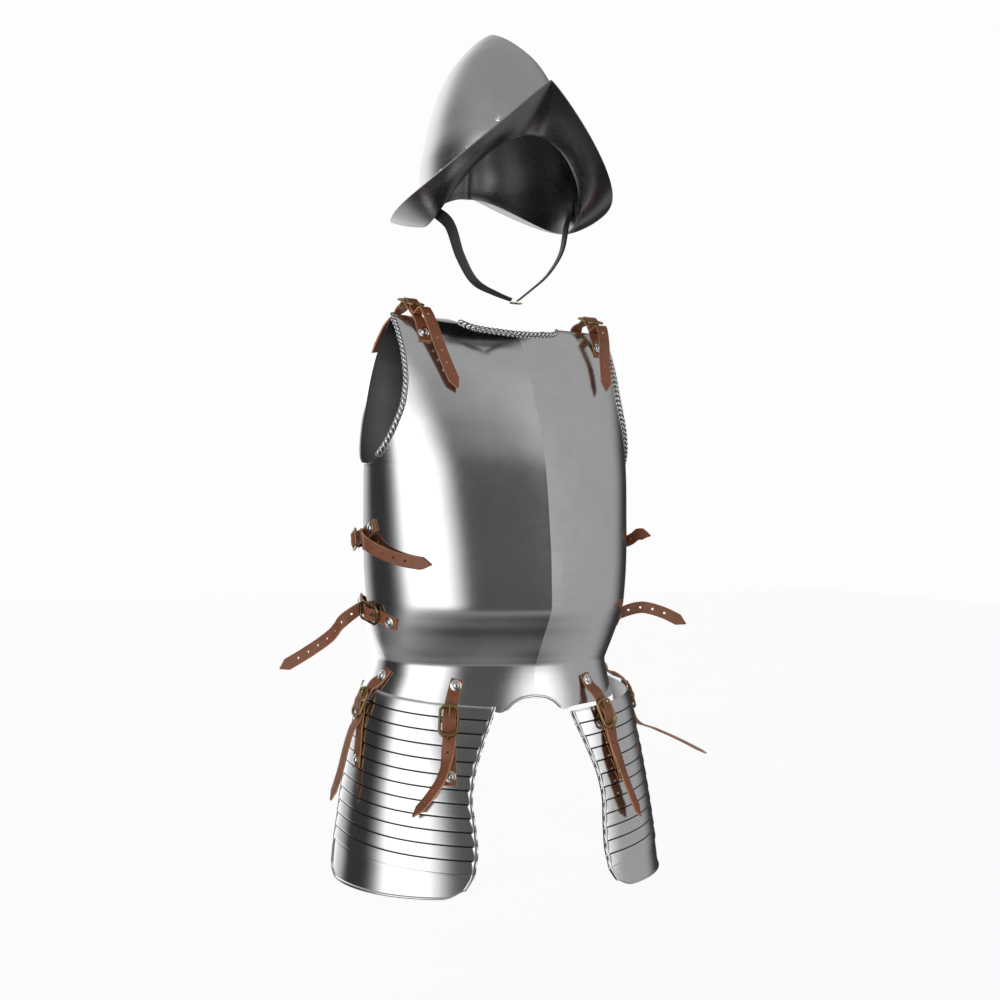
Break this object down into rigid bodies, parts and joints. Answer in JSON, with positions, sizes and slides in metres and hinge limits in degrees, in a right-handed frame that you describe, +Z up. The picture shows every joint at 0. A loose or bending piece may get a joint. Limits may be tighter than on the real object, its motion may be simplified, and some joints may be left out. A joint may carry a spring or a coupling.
{
  "type": "pikeman half armour",
  "caption": "Steel half armour as worn: brimmed helmet, breastplate with roped edges, backplate and ribbed tassets on buckled leather straps.",
  "frame": {"origin": "middle of the line across the tops of the shoulders, between the wearer's shoulders, where the armour is worn", "axes": "+Z up, the front faces -Y, +X to the wearer's left"},
  "size_m": [0.5652, 0.3861, 1.0832],
  "materials": {
    "polished_steel": "polished, soft blurred reflections",
    "satin_steel": "satin",
    "brown_leather": "mid brown strap leather with lighter cut edges",
    "black_leather": "black strap leather",
    "antique_brass": "antique brass, dull"
  },
  "bodies": {
    "root": {"breastplate": "polished_steel", "backplate": "polished_steel", "armhole_rope_right": "polished_steel", "armhole_rope_left": "polished_steel", "neck_rope": "polished_steel", "arch_roll": "polished_steel", "tasset_right": "polished_steel", "tasset_left": "polished_steel", "helmet": "satin_steel", "shoulder_strap_right_billet": "brown_leather", "shoulder_strap_right_buckle_strap": "brown_leather", "shoulder_strap_right_buckle_strap_rivet": "polished_steel", "shoulder_strap_right_buckle": "antique_brass", "shoulder_strap_left_billet": "brown_leather", "shoulder_strap_left_buckle_strap": "brown_leather", "shoulder_strap_left_buckle_strap_rivet": "polished_steel", "shoulder_strap_left_buckle": "antique_brass", "upper_side_strap_right_billet": "brown_leather", "upper_side_strap_right_billet_rivet": "polished_steel", "upper_side_strap_right_buckle_strap": "brown_leather", "upper_side_strap_right_buckle_strap_rivet": "polished_steel", "upper_side_strap_right_buckle": "antique_brass", "upper_side_strap_left_billet": "brown_leather", "upper_side_strap_left_billet_rivet": "polished_steel", "upper_side_strap_left_buckle_strap": "brown_leather", "upper_side_strap_left_buckle_strap_rivet": "polished_steel", "upper_side_strap_left_buckle": "antique_brass", "lower_side_strap_right_billet": "brown_leather", "lower_side_strap_right_billet_rivet": "polished_steel", "lower_side_strap_right_buckle_strap": "brown_leather", "lower_side_strap_right_buckle_strap_rivet": "polished_steel", "lower_side_strap_right_buckle": "antique_brass", "lower_side_strap_left_billet": "brown_leather", "lower_side_strap_left_billet_rivet": "polished_steel", "lower_side_strap_left_buckle_strap": "brown_leather", "lower_side_strap_left_buckle_strap_rivet": "polished_steel", "lower_side_strap_left_buckle": "antique_brass", "tasset_front_strap_right_billet": "brown_leather", "tasset_front_strap_right_billet_rivet": "polished_steel", "tasset_front_strap_right_buckle_strap": "brown_leather", "tasset_front_strap_right_buckle_strap_rivet": "polished_steel", "tasset_front_strap_right_buckle": "antique_brass", "tasset_side_strap_right_billet": "brown_leather", "tasset_side_strap_right_billet_rivet": "polished_steel", "tasset_side_strap_right_buckle_strap": "brown_leather", "tasset_side_strap_right_buckle_strap_rivet": "polished_steel", "tasset_side_strap_right_buckle": "antique_brass", "tasset_front_strap_left_billet": "brown_leather", "tasset_front_strap_left_billet_rivet": "polished_steel", "tasset_front_strap_left_buckle_strap": "brown_leather", "tasset_front_strap_left_buckle_strap_rivet": "polished_steel", "tasset_front_strap_left_buckle": "antique_brass", "tasset_side_strap_left_billet": "brown_leather", "tasset_side_strap_left_billet_rivet": "polished_steel", "tasset_side_strap_left_buckle_strap": "brown_leather", "tasset_side_strap_left_buckle_strap_rivet": "polished_steel", "tasset_side_strap_left_buckle": "antique_brass", "chin_strap_right": "black_leather", "chin_strap_left": "black_leather", "chin_buckle": "antique_brass"}
  },
  "joints": []
}
